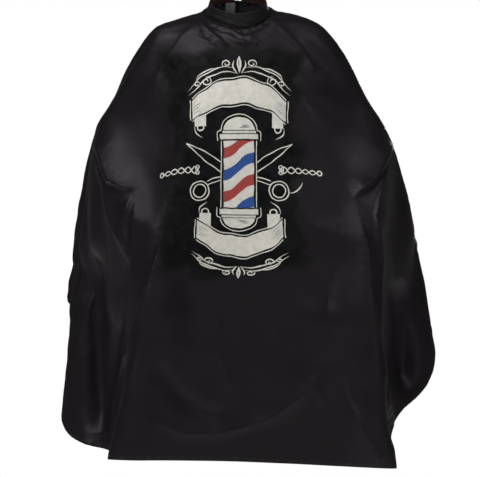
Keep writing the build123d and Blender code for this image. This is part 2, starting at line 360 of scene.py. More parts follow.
def relaxed(cut, faces, start):
    """The start shape after the cloth simulation, held at the neck and at the guide points."""
    wearer = make_wearer()
    sheet = new_mesh("simulated", start + rng.normal(0, 0.0006, start.shape), faces)
    sheet.shape_key_add(name="Basis")
    rest = sheet.shape_key_add(name="flat")
    for key, (u, v) in zip(rest.data, cut):
        key.co = (u, v, 0)
    rest.value = 0
    group = sheet.vertex_groups.new(name="held")
    reach = 0.03
    hold = np.zeros(len(cut))
    for guide in guides[guides[:, 5] > 0]:
        squared = ((cut - guide[:2]) ** 2).sum(axis=1)
        near = guide[5] * np.exp(-squared / (2 * reach ** 2))
        hold = np.maximum(hold, np.where(squared < (2.2 * reach) ** 2, near, 0))
    radius = np.hypot(cut[:, 0], cut[:, 1])
    hold[(np.abs(cut[:, 0]) < 0.006) & (cut[:, 1] > 0) & (radius < NECK_RADIUS + 0.06)] = 0.9
    hold[radius < NECK_RADIUS + 1e-4] = 1
    for index, weight in enumerate(hold):
        group.add([index], float(weight), 'REPLACE')
    cloth = sheet.modifiers.new("cloth", "CLOTH")
    settings = cloth.settings
    settings.quality = 8
    settings.mass = 0.15
    settings.tension_stiffness = settings.compression_stiffness = 40
    settings.shear_stiffness = 15
    settings.bending_stiffness = 0.1
    settings.tension_damping = settings.compression_damping = settings.shear_damping = 8
    settings.bending_damping = 0.5
    settings.air_damping = 3
    settings.bending_model = 'ANGULAR'
    settings.vertex_group_mass = "held"
    settings.pin_stiffness = 12
    settings.rest_shape_key = rest
    cloth.collision_settings.use_collision = True
    cloth.collision_settings.distance_min = 0.006
    cloth.collision_settings.collision_quality = 3
    cloth.collision_settings.use_self_collision = True
    cloth.collision_settings.self_distance_min = 0.005
    cloth.point_cache.frame_start, cloth.point_cache.frame_end = 1, FRAMES + 1
    scene.frame_start, scene.frame_end = 1, FRAMES + 1
    for number in range(1, FRAMES + 1):
        scene.frame_set(number)
    graph = bpy.context.evaluated_depsgraph_get()
    settled = coordinates(sheet.evaluated_get(graph).data)
    scene.frame_set(1)
    for used in (sheet, wearer):
        mesh = used.data
        bpy.data.objects.remove(used)
        bpy.data.meshes.remove(mesh)
    return settled


cut_points, cut_faces = flat_mesh(STEP)
neck_guides = np.array([(u, v) + on_neck(u, v) for u, v in neck_ring(0.02)])
draped = thin_plate(np.vstack([guides[:, :2], neck_guides[:, :2]]),
                    np.vstack([guides[:, 2:5], neck_guides[:, 2:5]]), cut_points)
at_neck = np.hypot(cut_points[:, 0], cut_points[:, 1]) < NECK_RADIUS + 1e-4
draped[at_neck] = [on_neck(u, v) for u, v in cut_points[at_neck]]
draped = relaxed(cut_points, cut_faces, draped)


# ------------------------------------------------------------------ the cape's fine surface
def edge_distance(points):
    """How far each cut point is from the cloth's edge."""
    outline = np.array(cut_edge(0.008))
    ends = np.roll(outline, -1, axis=0)
    run = ends - outline
    length = np.maximum((run ** 2).sum(axis=1), 1e-12)
    nearest = []
    for point in points:
        along = np.clip(((point - outline) * run).sum(axis=1) / length, 0, 1)
        nearest.append(((outline + run * along[:, None] - point) ** 2).sum(axis=1).min())
    return np.sqrt(np.array(nearest))


cape = new_mesh("cape", draped, cut_faces)
layout = cape.data.attributes.new("cut", 'FLOAT_VECTOR', 'POINT')
layout.data.foreach_set("vector", flattened(np.column_stack([cut_points, np.zeros(len(cut_points))])))
divide = cape.modifiers.new("divide", "SUBSURF")
divide.levels = divide.render_levels = 2
divide.boundary_smooth = 'PRESERVE_CORNERS'
applied(cape)
surface = coordinates(cape.data)
cut = cut_places(cape.data)
pairs = np.empty(len(cape.data.edges) * 2, dtype=np.int32)
cape.data.edges.foreach_get("vertices", pairs)
pairs = pairs.reshape(-1, 2)
valence = np.maximum(np.bincount(pairs.ravel(), minlength=len(surface)), 1)[:, None]
to_edge = edge_distance(cut)


def smoothed(points, amount, rounds):
    """Points moved towards their neighbours' mean; amount is per vertex, from 0 to 1."""
    for _ in range(rounds):
        total = np.zeros_like(points)
        for axis in range(3):
            total[:, axis] = (np.bincount(pairs[:, 0], points[pairs[:, 1], axis], len(points))
                              + np.bincount(pairs[:, 1], points[pairs[:, 0], axis], len(points)))
        points = points + (total / valence - points) * amount[:, None]
    return points


def neck_fade():
    """Share of each cut point from 0 at the neck seam to 1 away from it."""
    return np.clip((np.hypot(cut[:, 0], cut[:, 1]) - NECK_RADIUS) / NECK_FADE, 0, 1)


away_from_neck = neck_fade()
inner = np.clip(to_edge / 0.01, 0.0, 1)
surface = smoothed(surface, 0.5 * away_from_neck * inner, 10)


FRONT_HEM = [(-.325, -1.114), (0, -1.124), (.395, -1.137)]      # (x, z) along the front hem
LEVELLED_FROM = 0.70             # how far below the neck centre, on the cut, the levelling starts


def hem_levelled(points):
    """Raises or lowers the front hem to the heights it hangs at."""
    at_hem = np.flatnonzero((cut[:, 1] < 0.004 - FRONT) & (np.abs(cut[:, 0]) < 0.44))
    at_hem = at_hem[np.argsort(cut[at_hem, 0])]
    wanted = np.interp(points[at_hem, 0], *zip(*FRONT_HEM))
    gap = np.interp(cut[:, 0], cut[at_hem, 0], wanted - points[at_hem, 2])
    share = np.clip((-cut[:, 1] - LEVELLED_FROM) / (FRONT - LEVELLED_FROM), 0, 1) ** 2
    share = share * np.clip((0.56 - np.abs(cut[:, 0])) / 0.12, 0, 1)
    return points + np.column_stack([np.zeros((len(points), 2)), gap * share])


# Outlines that the draped cape shows from the front, as (x, z), down each side.
RIGHT_OUTLINE = [
    (-.2235, -.0305), (-.287, -.127), (-.325, -.216), (-.371, -.305), (-.389, -.381), (-.414, -.521),
    (-.427, -.622), (-.439, -.719), (-.437, -.744), (-.428, -.775), (-.437, -.889), (-.448, -1.003),
    (-.447, -1.041),
]
LEFT_OUTLINE = [
    (.240, -.045), (.272, -.089), (.315, -.165), (.348, -.241), (.391, -.31), (.424, -.419), (.45, -.533),
    (.481, -.699), (.500, -.833), (.503, -.885), (.479, -.950), (.438, -.990), (.399, -1.030),
]
OUTLINE_STEP = 0.012
OUTLINE_FROM = 0.20              # cloth nearer than this to the middle isn't moved


def outlined_to(points, outline, side):
    """Moves the cloth of one side in or out, so that its outline is the wanted one."""
    wanted_x, wanted_z = np.array(outline)[::-1].T
    levels = np.arange(wanted_z[0], wanted_z[-1], OUTLINE_STEP)
    reach = np.array([(side * points[np.abs(points[:, 2] - z) < OUTLINE_STEP, 0]).max() for z in levels])
    gap = side * np.interp(levels, wanted_z, wanted_x) - reach
    gap = np.convolve(np.pad(gap, 3, mode='edge'), np.ones(7) / 7, mode='valid')
    rim = np.interp(points[:, 2], levels, reach)
    fade = (np.clip((points[:, 2] - (wanted_z[0] - 0.05)) / 0.05, 0, 1)
            * np.clip((wanted_z[-1] + 0.05 - points[:, 2]) / 0.05, 0, 1))
    share = np.clip((side * points[:, 0] - OUTLINE_FROM) / np.maximum(rim - OUTLINE_FROM, 0.02), 0, 1)
    share = share * share * (3 - 2 * share)
    moved = points.copy()
    moved[:, 0] += side * np.interp(points[:, 2], levels, gap) * share * fade
    return moved


def slit_closed(points):
    """Laps the back edges a little over each other, the wearer's left one on top."""
    near = (np.clip(1 - np.abs(cut[:, 0]) / 0.045, 0, 1)
            * np.clip((cut[:, 1] - NECK_RADIUS + 0.004) / 0.004, 0, 1))
    side = np.sign(cut[:, 0])
    moved = points.copy()
    moved[:, 0] -= side * 0.0055 * near
    moved[:, 1] += np.where(side > 0, 0.0022, -0.0006) * near
    return moved


def put(points, piece=cape):
    """Gives a piece's vertices new places."""
    piece.data.vertices.foreach_set("co", flattened(points))
    piece.data.update()


surface = hem_levelled(surface)
surface = outlined_to(outlined_to(surface, RIGHT_OUTLINE, -1), LEFT_OUTLINE, 1)
surface = smoothed(surface, 0.5 * away_from_neck * inner, 5)
surface = slit_closed(surface)
put(surface)

# Creases that the drape has, seen from the front: their line as (x, z), how high they stand (negative
# for a furrow), and how far they fall away on the left and on the right of the line as it runs.
COLLAR_PULLS = [
    ([(-.106, .004), (-.070, -.020), (-.036, -.038), (.012, -.062), (.070, -.070)], .0068, .0045, .008),
    ([(-.108, -.016), (-.080, -.040), (-.056, -.062), (-.020, -.092)], .0060, .0040, .008),
    ([(-.096, -.040), (-.076, -.062), (-.050, -.088)], .0044, .0035, .008),
    ([(-.080, .004), (-.040, -.016), (.000, -.030), (.044, -.036)], .0048, .0040, .006),
    ([(-.040, -.048), (-.006, -.070), (.030, -.082)], .0046, .0035, .006),
    ([(-.052, .000), (-.020, -.008), (.024, -.018), (.060, -.014)], .0034, .0035, .005),
    ([(.094, -.004), (.080, -.030), (.052, -.052), (.016, -.064)], .0056, .0080, .004),
    ([(.086, .006), (.066, -.012), (.034, -.030)], .0034, .0060, .004),
    ([(.000, -.078), (.030, -.074), (.056, -.082)], .0036, .0030, .005),
]
CREASES = [
    # front panel's folded edge, wearer's right: a long fine ridge, and the second one that joins it
    ([(-.180, -.53), (-.224, -.699), (-.258, -.813), (-.293, -.914), (-.312, -1.003), (-.325, -1.14)],
     .012, .030, .0035),
    ([(-.256, -.445), (-.262, -.56), (-.264, -.678), (-.273, -.787), (-.288, -.864), (-.297, -.92)],
     .007, .022, .0035),
    ([(-.290, -.50), (-.292, -.60), (-.292, -.70), (-.308, -.83), (-.326, -.96), (-.340, -1.04)],
     -.010, .018, .018),
    # sleeve: long furrow, the lighter roll beside it, and the fine outermost roll
    ([(-.362, -.56), (-.364, -.699), (-.358, -.826), (-.352, -.978), (-.345, -1.12)], -.024, .026, .026),
    ([(-.336, -.42), (-.322, -.50), (-.314, -.572), (-.312, -.699), (-.318, -.80)], .008, .016, .010),
    ([(-.398, -.45), (-.410, -.535), (-.417, -.62), (-.420, -.71)], .005, .008, .006),
    # swags hanging from the right elbow
    ([(-.372, -.318), (-.350, -.348), (-.333, -.391), (-.320, -.424), (-.287, -.441), (-.245, -.447)],
     .013, .026, .0045),
    ([(-.366, -.350), (-.338, -.429), (-.315, -.516), (-.290, -.592), (-.275, -.63)], .008, .020, .005),
    ([(-.266, -.455), (-.284, -.528), (-.281, -.592), (-.270, -.64)], .008, .005, .012),
    # swags hanging from the left elbow
    ([(.392, -.325), (.361, -.386), (.339, -.424), (.318, -.441), (.285, -.466)], .013, .0045, .026),
    ([(.386, -.362), (.361, -.429), (.347, -.484), (.342, -.511), (.350, -.572), (.355, -.625),
      (.350, -.681), (.348, -.78), (.358, -.862)], .010, .012, .005),
    ([(.294, -.458), (.306, -.528), (.323, -.592), (.330, -.701), (.338, -.765), (.353, -.851),
      (.376, -.955), (.386, -1.046), (.391, -1.14)], .009, .0045, .026),
    ([(.405, -.66), (.414, -.76), (.416, -.86), (.424, -.96)], -.022, .028, .026),
    # low on the front panel
    ([(.235, -.88), (.270, -.955), (.310, -1.039), (.350, -1.112)], .0042, .009, .028),
    ([(.180, -.90), (.215, -.98), (.228, -1.060), (.236, -1.12)], .0034, .010, .024),
    ([(-.235, -1.010), (-.135, -1.054), (-.033, -1.052), (.080, -1.020), (.157, -.965), (.215, -.890)],
     .0058, .034, .009),
    ([(-.215, -.86), (-.150, -.95), (-.090, -1.00), (-.010, -1.02)], -.0050, .020, .026),
    ([(.229, -.56), (.226, -.775), (.231, -.99)], .0045, .014, .022),
    ([(-.06, -.72), (-.045, -.86), (-.005, -.98)], .0035, .022, .014),
    ([(.10, -.62), (.11, -.74), (.085, -.86)], .0030, .016, .020),
    # pulls from the collar across the chest
    *COLLAR_PULLS,
    ([(.088, -.018), (.12, -.05), (.165, -.10), (.20, -.16)], .0035, .012, .006),
    ([(-.10, -.02), (-.14, -.06), (-.19, -.13), (-.22, -.20)], .0035, .006, .012),
]


def beside(points, line):
    """Signed distance from a line (left of its run is positive), and the fade at its two ends."""
    line = np.array(line)
    lengths = np.hypot(*np.diff(line, axis=0).T)
    total, before = lengths.sum(), 0.0
    best = np.full(len(points), np.inf)
    signed = np.zeros(len(points))
    place = np.zeros(len(points))
    for start, end, length in zip(line, line[1:], lengths):
        run = (end - start) / length
        offset = points - start
        along = np.clip(offset @ run, 0, length)
        gap = points - (start + run * along[:, None])
        distance = np.hypot(gap[:, 0], gap[:, 1])
        nearer = distance < best
        side = np.sign(run[0] * offset[:, 1] - run[1] * offset[:, 0])
        best = np.where(nearer, distance, best)
        signed = np.where(nearer, side * distance, signed)
        place = np.where(nearer, before + along, place)
        before += length
    fade = np.clip(np.minimum(place, total - place) / (0.22 * total), 0, 1)
    return signed, fade * fade * (3 - 2 * fade)


def refined(points):
    """Halves the mesh near the creases and returns its points. The cut's own values follow it."""
    global cut, to_edge, away_from_neck
    near = np.zeros(len(points), dtype=bool)
    for line, *_ in CREASES:
        signed, _ = beside(points[:, [0, 2]], line)
        near |= (np.abs(signed) < 0.020) & (points[:, 1] < 0.03)
    near |= (np.abs(cut[:, 1] + PACKING_CREASE) < 0.012) & (np.abs(cut[:, 0]) < 0.45)
    near |= (np.hypot(cut[:, 0], cut[:, 1]) < 0.17) & (cut[:, 1] < 0.03)
    form = bmesh.new()
    form.from_mesh(cape.data)
    form.verts.ensure_lookup_table()
    chosen = [e for e in form.edges if near[e.verts[0].index] and near[e.verts[1].index]]
    bmesh.ops.subdivide_edges(form, edges=chosen, cuts=1, use_grid_fill=True, smooth=0.0)
    form.to_mesh(cape.data)
    form.free()
    cut = cut_places(cape.data)
    to_edge = edge_distance(cut)
    away_from_neck = neck_fade()
    return coordinates(cape.data)


def ripple(points):
    """Fine slanting wrinkles of the collar, which die out down the chest and towards its left."""
    x, z = points[:, 0], points[:, 2]
    across = (z + 0.52 * x) / 0.0105 + 0.5 * np.sin(x / 0.021) + 0.35 * np.sin(z / 0.013 + 1)
    area = np.clip((0.075 - x) / 0.06, 0, 1) * np.clip((z + 0.105) / 0.05, 0, 1)
    area = area * np.clip((x + 0.13) / 0.04, 0, 1)
    return 0.0011 * (np.abs(np.sin(math.pi * across)) ** 0.7 - 0.5) * area


def creased(points):
    """The points after every crease has pushed them along their outward direction."""
    put(points)
    outward = normals(cape.data)
    outward[:, 2] *= np.clip((points[:, 2] + 1.08) / 0.04, 0, 1)
    seen = np.clip((-outward[:, 1] - 0.05) / 0.25, 0, 1) * np.clip((0.03 - points[:, 1]) / 0.03, 0, 1)
    shift = np.zeros(len(points))
    for line, height, left, right in CREASES:
        signed, fade = beside(points[:, [0, 2]], line)
        if line[-1][1] < -1.1:
            fade = np.maximum(fade, np.clip((-1.0 - points[:, 2]) / 0.1, 0, 1) * (np.abs(signed) < 0.2))
        blunt = np.sqrt(signed ** 2 + 0.0018 ** 2) - 0.0018
        reach = np.where(signed > 0, left, right)
        profile = np.exp(-blunt / reach) if height > 0 else np.exp(-(signed / reach) ** 2)
        shift += height * profile * fade * (np.abs(signed) < 5 * reach)
    shift += ripple(points)
    return points + outward * (shift * seen * away_from_neck ** 0.5)[:, None]


surface = refined(surface)
surface = creased(surface)

# Gathers that fan out from the neck seam, the packing crease and small unevenness.
angle = np.arctan2(cut[:, 1], cut[:, 0])
reach_out = np.hypot(cut[:, 0], cut[:, 1]) - NECK_RADIUS
gather = (np.sin(17 * angle + 0.7) + 0.8 * np.sin(29 * angle + 2.1) + 0.6 * np.sin(41 * angle))
behind = 0.12 + 0.88 * np.clip(cut[:, 1] / 0.08 + 0.4, 0, 1)      # gathers are strong behind, faint in front
shift = 0.0016 * behind * gather * np.exp(-reach_out / 0.03) * np.clip(reach_out / 0.006, 0, 1)
shift += 0.0046 * np.exp(-((reach_out - 0.008) / 0.008) ** 2)
fold_line = np.abs(cut[:, 1] + PACKING_CREASE)
shift += ((0.0006 * np.exp(-fold_line / 0.005) - 0.0004 * np.exp(-fold_line / 0.02))
          * np.clip((0.36 - np.abs(cut[:, 0])) / 0.2, 0, 1))
put(surface)
surface = surface + normals(cape.data) * shift[:, None]
put(surface)
outward = normals(cape.data)
layout = cape.data.attributes["cut"]
layout.data.foreach_set("vector", flattened(np.column_stack([cut, to_edge])))


# ------------------------------------------------------------------ pieces that lie on the cloth
class Lookup:
    """Finds the place and the outward direction on the draped cloth for a point of the cut."""

    def __init__(self):
        self.faces = []
        for polygon in cape.data.polygons:
            corners = list(polygon.vertices)
            self.faces += [(corners[0], corners[i], corners[i + 1]) for i in range(1, len(corners) - 1)]
        self.flat = [Vector((u, v, 0)) for u, v in cut]
        self.tree = BVHTree.FromPolygons(self.flat, self.faces)

    def at(self, u, v, lift=0.0):
        """The place on the cloth, moved outwards by lift."""
        spot, _, face, _ = self.tree.find_nearest(Vector((u, v, 0)))
        a, b, c = self.faces[face]
        p, q, r = self.flat[a], self.flat[b], self.flat[c]
        area = (q.y - r.y) * (p.x - r.x) + (r.x - q.x) * (p.y - r.y)
        first = ((q.y - r.y) * (spot.x - r.x) + (r.x - q.x) * (spot.y - r.y)) / area
        second = ((r.y - p.y) * (spot.x - r.x) + (p.x - r.x) * (spot.y - r.y)) / area
        weights = np.array((first, second, 1 - first - second))
        place = weights @ surface[[a, b, c]]
        normal = weights @ outward[[a, b, c]]
        return place + normal / np.linalg.norm(normal) * lift


cloth_at = Lookup()


class Patches:
    """Grid patches of cut points at one height above the cloth, gathered into one object."""

    def __init__(self, lift):
        self.lift, self.vertices, self.faces = lift, [], []

    def grid(self, rows):
        """rows of (u, v), all the same length."""
        self.faces += grid_faces(len(rows), len(rows[0]), len(self.vertices))
        self.vertices += [cloth_at.at(u, v, self.lift) for row in rows for u, v in row]

    def build(self, name):
        """The gathered object, its faces turned to the front."""
        made = new_mesh(name, self.vertices, self.faces)
        form = bmesh.new()
        form.from_mesh(made.data)
        bmesh.ops.recalc_face_normals(form, faces=form.faces)
        if sum(f.normal.y * f.calc_area() for f in form.faces) > 0:
            bmesh.ops.reverse_faces(form, faces=form.faces)
        form.to_mesh(made.data)
        form.free()
        return made


def spline(points, step=0.003):
    """Smooth line through points, cut into short runs."""
    points = np.array(points, dtype=float)
    padded = np.vstack([2 * points[0] - points[1], points, 2 * points[-1] - points[-2]])
    line = []
    for i in range(1, len(padded) - 2):
        p0, p1, p2, p3 = padded[i - 1:i + 3]
        count = max(2, round(math.dist(p1, p2) / step))
        for k in range(count):
            t = k / count
            line.append(0.5 * (2 * p1 + (p2 - p0) * t + (2 * p0 - 5 * p1 + 4 * p2 - p3) * t ** 2
                               + (3 * p1 - p0 - 3 * p2 + p3) * t ** 3))
    line.append(points[-1])
    return np.array(line)


EMBLEM_U, EMBLEM_V = 0.0025, -0.466      # centre of the printed pole on the cut


def on_emblem(point):
    """A point of the drawing, in metres from the pole's centre, on the cut."""
    return (EMBLEM_U + point[0] * 1.01, EMBLEM_V + point[1])


def stroke(patches, line, width, taper=0.0):
    """Strip of a given width along a line of emblem points. taper narrows its two ends."""
    line = np.asarray(line, dtype=float)
    run = np.gradient(line, axis=0)
    run /= np.maximum(np.hypot(run[:, 0], run[:, 1]), 1e-9)[:, None]
    side = np.column_stack([-run[:, 1], run[:, 0]])
    share = np.linspace(0, 1, len(line))
    widths = np.full(len(line), width)
    if taper:
        widths = widths * np.clip(np.minimum(share, 1 - share) / taper, 0.06, 1) ** 0.7
    count = max(1, round(widths.max() / 0.004))
    rows = []
    for point, across, wide in zip(line, side, widths):
        rows.append([on_emblem(point + across * wide * (k / count - 0.5)) for k in range(count + 1)])
    patches.grid(rows)


def straight(a, b, step=0.003):
    """Points from a to b, both included."""
    count = max(2, round(math.dist(a, b) / step))
    return np.array([(a[0] + (b[0] - a[0]) * i / count, a[1] + (b[1] - a[1]) * i / count)
                     for i in range(count + 1)])


def ring(centre, radius, step=0.003):
    """Points round a full circle, the first one repeated at the end."""
    count = max(6, round(math.tau * radius / step))
    turns = [math.radians(360 * i / count) for i in range(count + 1)]
    return np.array([(centre[0] + radius * math.cos(t), centre[1] + radius * math.sin(t)) for t in turns])


def curl(centre, radius, first, turns, growth=0.25, step=0.0022):
    """Spiral that winds in from its outer end; turns is negative for clockwise."""
    count = max(12, round(abs(turns) * 2 * math.pi * radius * 0.6 / step))
    line = []
    for i in range(count + 1):
        t = i / count
        r = radius * (1 - t * (1 - growth))
        a = math.radians(first) + turns * 2 * math.pi * t
        line.append((centre[0] + r * math.cos(a), centre[1] + r * math.sin(a)))
    return np.array(line)


# Three layers of ink, each above the one before.
pale, red, blue, ink = (Patches(lift) for lift in (0.0004, 0.0008, 0.0008, 0.0012))


def slices(patches, xs, low, high, cells=8):
    """Patch between two curves, cut into upright slices."""
    patches.grid([[on_emblem((x, low(x) + (high(x) - low(x)) * k / cells)) for k in range(cells + 1)]
                  for x in xs])


OUTLINE, OUTLINE_GAP = 0.0022, 0.0055
INK_LINE, HATCH_LINE, TAIL_LINE = 0.0014, 0.0012, 0.0034
DOME_HALF = 0.0405

# the pole: a pale body with slanted stripes, collars and domed ends, and a thin line round it all
POLE_HALF, POLE_TALL = 0.040, 0.083
stroke(pale, straight((0, -POLE_TALL), (0, POLE_TALL)), 2 * POLE_HALF)


def slanted(patches, middle, wide=0.0265, rise=0.56):
    """Stripe that climbs across the pole, kept inside it."""
    def edge(x, offset):
        level = middle + rise * x + 0.005 * math.sin(math.pi * x / POLE_HALF)
        return min(POLE_TALL, max(-POLE_TALL, level + offset))
    xs = [-POLE_HALF + 2 * POLE_HALF * i / 24 for i in range(25)]
    slices(patches, xs, lambda x: edge(x, -wide / 2), lambda x: edge(x, wide / 2), 5)


for middle in (0.074, -0.035):
    slanted(red, middle)
for middle in (0.0195, -0.0895):
    slanted(blue, middle)
for x in (-POLE_HALF, POLE_HALF):
    stroke(ink, straight((x, -POLE_TALL), (x, POLE_TALL)), 0.0020)
    stroke(pale, straight((x * 1.14, -POLE_TALL), (x * 1.14, POLE_TALL)), OUTLINE)
for sign, dome in ((1, 0.034), (-1, 0.027)):
    stroke(pale, straight((-0.049, sign * 0.0935), (0.049, sign * 0.0935)), 0.0135)
    stroke(pale, straight((-0.043, sign * 0.1045), (0.043, sign * 0.1045)), 0.0060)
    for level, half in ((0.0850, 0.045), (0.1012, 0.047), (0.1082, 0.042)):
        stroke(ink, straight((-half, sign * level), (half, sign * level)), INK_LINE)
    xs = [-DOME_HALF * math.cos(math.pi * k / 20) for k in range(21)]
    slices(pale, xs, lambda x: sign * 0.108,
           lambda x: sign * (0.108 + dome * math.sqrt(max(0.0, 1 - (x / DOME_HALF) ** 2))))
    for offset in (0.006, 0.011, 0.016):
        shading = [(-0.010 + offset, sign * (0.112 + offset * 0.3)), (0.012, sign * (0.113 + offset * 0.5)),
                   (0.034 - offset * 0.6, sign * (0.1135 + offset * 0.55))]
        stroke(ink, spline(shading), 0.0011, taper=0.6)
    turns = [math.pi * k / 12 for k in range(13)]
    rim = [(-0.0555, sign * 0.083), (-0.0555, sign * 0.104)]
    rim += [(-0.0465 * math.cos(t), sign * (0.109 + (dome + 0.006) * math.sin(t))) for t in turns]
    rim += [(0.0555, sign * 0.104), (0.0555, sign * 0.083)]
    stroke(pale, spline(rim), OUTLINE)


def ribbon(sign, reach, top_middle, top_end, tall_middle, tall_end):
    """Blank arched ribbon with rolled tails. sign is 1 above the pole and -1 below it."""
    def upper(x):
        return sign * (top_end + (top_middle - top_end) * (1 - (x / reach) ** 2) + 0.0022 * math.sin(x * 95))

    def lower(x):
        return upper(x) - sign * (tall_middle + (tall_end - tall_middle) * (x / reach) ** 2)
    xs = [-reach + 2 * reach * k / 72 for k in range(73)]
    slices(pale, xs, lower, upper, 10)
    for curve, way in ((upper, 1), (lower, -1)):
        stroke(pale, np.array([(x, curve(x) + sign * way * OUTLINE_GAP) for x in xs[::2]]), OUTLINE)
    for side in (-1, 1):
        end = side * reach
        tall = upper(end) - lower(end)
        stroke(pale, np.array([(end + side * OUTLINE_GAP, lower(end) + tall * k / 12 * 1.1 - sign * 0.002)
                               for k in range(13)]), OUTLINE)
        for level, long in ((0.25, 0.030), (0.42, 0.022), (0.58, 0.028), (0.75, 0.016)):
            start, finish = ((x, lower(x) + (upper(x) - lower(x)) * level) for x in (end, end - side * long))
            stroke(ink, straight(start, finish), HATCH_LINE, taper=0.7)
        # rolled tail: a short upright turn of ribbon and its curled tip
        base = lower(end - side * 0.010)
        xs_tail = [end - side * 0.006 - side * 0.030 * k / 10 for k in range(11)]
        slices(pale, xs_tail, lambda x: base - sign * 0.024, lambda x: lower(x) - sign * 0.003, 6)
        stroke(ink, np.array([(x, lower(x) - sign * 0.002) for x in xs_tail]), INK_LINE)
        stroke(pale, ring((end - side * 0.021, base - sign * 0.027), 0.0085), TAIL_LINE)
        tip = [(end - side * aside, base - sign * down)
               for aside, down in ((0.004, 0.024), (0.008, 0.040), (0.026, 0.053))]
        stroke(pale, spline(tip), TAIL_LINE, taper=0.5)


ribbon(1, 0.121, 0.2385, 0.183, 0.062, 0.048)
ribbon(-1, 0.107, 0.2050, 0.160, 0.049, 0.044)

# scissors behind the pole, drawn in outline: blades, shanks and finger loops
for side in (-1, 1):
    tip = (side * 0.140, 0.080)
    for root in (0.030, 0.006):
        stroke(pale, spline([(side * 0.047, root), (side * 0.088, 0.028 + root * 0.95), tip]), 0.0025)
    for radius, width in ((0.0250, 0.0030), (0.0165, 0.0028)):
        stroke(pale, ring((side * 0.102, -0.041), radius), width)
    for drop in (0.010, 0.021):
        shank = [(side * 0.047, -drop * 0.7), (side * 0.066, -drop), (side * 0.082, -drop - 0.006)]
        stroke(pale, spline(shank), 0.0025)
stroke(pale, spline([(.126, -.046), (.143, -.043), (.158, -.030), (.164, -.018)]), 0.0052, taper=0.6)

# slender braids at the sides, scrollwork above and below
for side in (-1, 1):
    def turned(line):
        line = np.asarray(line, dtype=float).copy()
        line[:, 0] *= side
        return line
    for phase in (0, math.pi):
        braid = [(0.106 + 0.100 * t, 0.0125 + (0.0085 - 0.004 * t) * math.sin(2.6 * math.tau * t + phase))
                 for t in np.linspace(0, 1, 60)]
        stroke(pale, turned(braid), 0.0028)
    stroke(pale, turned(curl((0.108, 0.018), 0.008, 270, 1.2)), 0.0026)
    stroke(pale, turned(curl((0.108, 0.007), 0.008, 90, -1.2)), 0.0026)
    stroke(pale, turned(ring((0.211, 0.0125), 0.0055)), 0.0036)
    for base, sign, wide, tall in ((0.232, 1, 1.12, 1.0), (-0.218, -1, 1.0, 0.62)):
        def placed(points):
            return turned([(x * wide, base + sign * tall * y) for x, y in points])
        for points, width in (
            ([(.004, .022), (.030, .026), (.056, .016), (.080, .004), (.094, -.014), (.116, -.034)], .0034),
            ([(.010, .034), (.036, .038), (.064, .026), (.088, .012), (.106, -.010), (.118, -.022)], .0030),
            ([(.050, .034), (.070, .030), (.090, .018), (.098, .004)], .0030),
            ([(.004, .020), (.014, .040), (.012, .056)], .0034),
            ([(.0, .022), (.003, .048), (.0, .068)], .0046),
        ):
            stroke(pale, spline(placed(points)), width, taper=0.35)
        for centre, radius, first, turns in (((.028, .047), .011, 290, 1.35), ((.074, .000), .013, 80, 1.4),
                                            ((.096, -.006), .008, 200, -1.1)):
            stroke(pale, placed(curl(centre, radius, first, turns)), 0.0030, taper=0.25)

print_pieces = [patches.build(name) for patches, name in (
    (pale, "print_pale"), (red, "print_red"), (blue, "print_blue"), (ink, "print_ink"))]


# ------------------------------------------------------------------ hem and stitches
def strip_along(line, inwards, sections, name):
    """Strip whose cross-section is (inset, lift) pairs, along a line of the cut's edge."""
    vertices = [cloth_at.at(p[0] + n[0] * inset, p[1] + n[1] * inset, lift)
                for p, n in zip(line, inwards) for inset, lift in sections]
    return new_mesh(name, vertices, grid_faces(len(line), len(sections)))


def inset_lines(step):
    """The cloth's outer edge with the slit's two sides, and the inward direction at each point."""
    line = np.array(along_line((SLIT_GAP, NECK_RADIUS + 0.004), (SLIT_GAP, BACK), step) + outer_edge(step)
                    + along_line((-SLIT_GAP, BACK), (-SLIT_GAP, NECK_RADIUS + 0.004), step)[1:])
    run = np.gradient(line, axis=0)
    run /= np.maximum(np.hypot(run[:, 0], run[:, 1]), 1e-9)[:, None]
    inwards = np.column_stack([run[:, 1], -run[:, 0]])
    return line, inwards


HEM_SECTION = [(0.0004, 0.0002), (0.0001, -0.0004), (0.0006, -0.0011), (0.0045, -0.0012), (0.0090, -0.0010),
               (0.0092, -0.0005)]
hem_fold = strip_along(*inset_lines(0.006), HEM_SECTION, "hem_fold")

# A thread bead's rings: place along it, size, and how far the ring sinks, as shares of length and radius.
BEAD_RINGS = ((0.0, 0.25, 0.6), (0.18, 0.85, 0.1), (0.5, 1.0, 0.0), (0.82, 0.85, 0.1), (1.0, 0.25, 0.6))
BEAD_SIDES = 6


class Stitches:
    """Separate short thread beads, gathered into one object."""

    def __init__(self):
        self.vertices, self.faces = [], []

    def bead(self, start, end, up, radius):
        """One stitch from start to end; up points away from the cloth."""
        start, end, up = (np.asarray(v, dtype=float) for v in (start, end, up))
        run = end - start
        length = np.linalg.norm(run)
        if length < 1e-6:
            return
        run /= length
        up = up - run * (up @ run)
        up /= max(np.linalg.norm(up), 1e-9)
        side = np.cross(run, up)
        first = len(self.vertices)
        for share, size, sink in BEAD_RINGS:
            centre = start + run * length * share - up * radius * sink
            for k in range(BEAD_SIDES):
                turn = math.tau * k / BEAD_SIDES
                self.vertices.append(centre + (side * math.cos(turn) + up * math.sin(turn)) * radius * size)
        last = len(self.vertices) - BEAD_SIDES
        for ring_start in range(first, last, BEAD_SIDES):
            for k in range(BEAD_SIDES):
                a, b = ring_start + k, ring_start + (k + 1) % BEAD_SIDES
                self.faces.append((a, b, b + BEAD_SIDES, a + BEAD_SIDES))
        self.faces.append(tuple(first + k for k in reversed(range(BEAD_SIDES))))
        self.faces.append(tuple(last + k for k in range(BEAD_SIDES)))

    def build(self, name):
        return new_mesh(name, self.vertices, self.faces)


